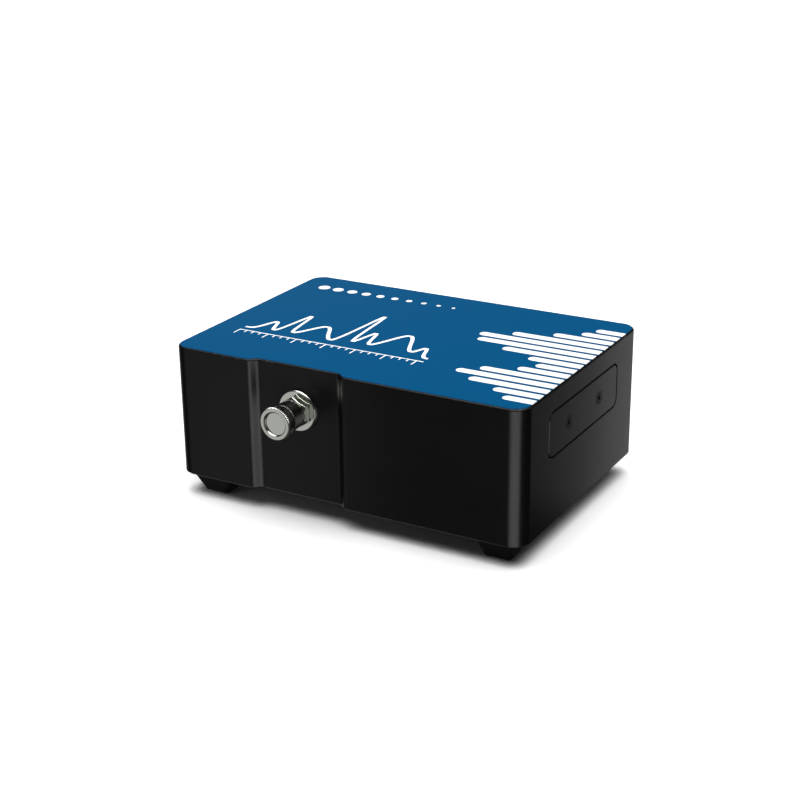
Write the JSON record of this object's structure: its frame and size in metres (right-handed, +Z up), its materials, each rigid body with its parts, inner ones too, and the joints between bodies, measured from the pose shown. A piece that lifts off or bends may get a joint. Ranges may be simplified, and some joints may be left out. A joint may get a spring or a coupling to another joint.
{
  "type": "miniature spectrometer",
  "caption": "Compact black fibre-input spectrometer: milled housing with a printed top, recessed front with a threaded fibre port and screw-on dust cap, side cover plate, rubber feet.",
  "frame": {"origin": "on the surface the feet stand on, under the middle of the whole outline, dust cap included", "axes": "+X to the right along the front, +Y to the rear, away from the fibre port, +Z up"},
  "size_m": [0.1128, 0.0898, 0.0465],
  "materials": {
    "housing_black": "satin black anodised",
    "label_print": "printed film under a clear gloss",
    "nickel": "bright nickel plate",
    "black_screw": "black oxide",
    "steel_screw": "bright zinc plate",
    "rubber": "matt black",
    "bench_black": "matt black anodised",
    "slit_foil": "blackened foil",
    "pillar_metal": "nickel plated",
    "mirror_coat": "polished aluminium coating",
    "grating_glass": "ruled aluminium on glass",
    "clear_glass": "polished",
    "filter_glass": "coated",
    "ceramic": "dark ceramic",
    "silicon": "polished",
    "board_green": "solder mask",
    "chip_black": "moulded",
    "capacitor_tan": "ceramic",
    "contact_gold": "gold plated",
    "plated_steel": "tin plated"
  },
  "bodies": {
    "spectrometer": {"housing": "housing_black", "base_plate": "housing_black", "side_plate": "housing_black", "top_label": "label_print", "port_connector": "nickel", "port_washer": "nickel", "port_nut": "nickel", "side_plate_screws": "black_screw", "foot_screws": "black_screw", "pillar_screws": "black_screw", "bench_screws": "steel_screw", "mount_screws": "steel_screw", "board_screws": "steel_screw", "carrier_screws": "steel_screw", "foot_front_left": "rubber", "foot_front_right": "rubber", "foot_rear_left": "rubber", "foot_rear_right": "rubber", "optical_bench": "bench_black", "collimator_mount": "bench_black", "focusing_mount": "bench_black", "grating_mount": "bench_black", "stray_light_baffle": "bench_black", "zero_order_trap": "bench_black", "slit_holder": "bench_black", "slit_retainer": "bench_black", "detector_carrier": "bench_black", "lens_mount": "bench_black", "slit_disc": "slit_foil", "bench_pillars": "pillar_metal", "collimating_mirror": "mirror_coat", "focusing_mirror": "mirror_coat", "diffraction_grating": "grating_glass", "detector_window": "clear_glass", "collection_lens": "clear_glass", "order_filter": "filter_glass", "detector_package": "ceramic", "sensor_strip": "silicon", "main_board": "board_green", "detector_board": "board_green", "processor_chip": "chip_black", "converter_chip": "chip_black", "support_chips": "chip_black", "link_header": "chip_black", "extension_socket": "chip_black", "usb_tongue": "chip_black", "board_capacitors": "capacitor_tan", "detector_pins": "contact_gold", "extension_pins": "contact_gold", "usb_socket": "plated_steel", "clock_crystal": "plated_steel"},
    "cap_lining": {"cap_seal": "rubber"},
    "dust_cap": {"cap_barrel": "nickel", "cap_end_disc": "nickel"}
  },
  "joints": [
    {"name": "cap_travel", "type": "slide", "parent": "spectrometer", "child": "cap_lining", "axis": [0, -1, 0], "range_m": [0, 0.00564]},
    {"name": "cap_turn", "type": "hinge", "parent": "cap_lining", "child": "dust_cap", "pos_m": [-0.0144, -0.0375, 0.0333], "axis": [0, -1, 0], "range_deg": [0, 2880]}
  ],
  "couplings": [
    {"joint": "cap_travel", "follows": "cap_turn", "m_per_rad": 0.00011229}
  ]
}
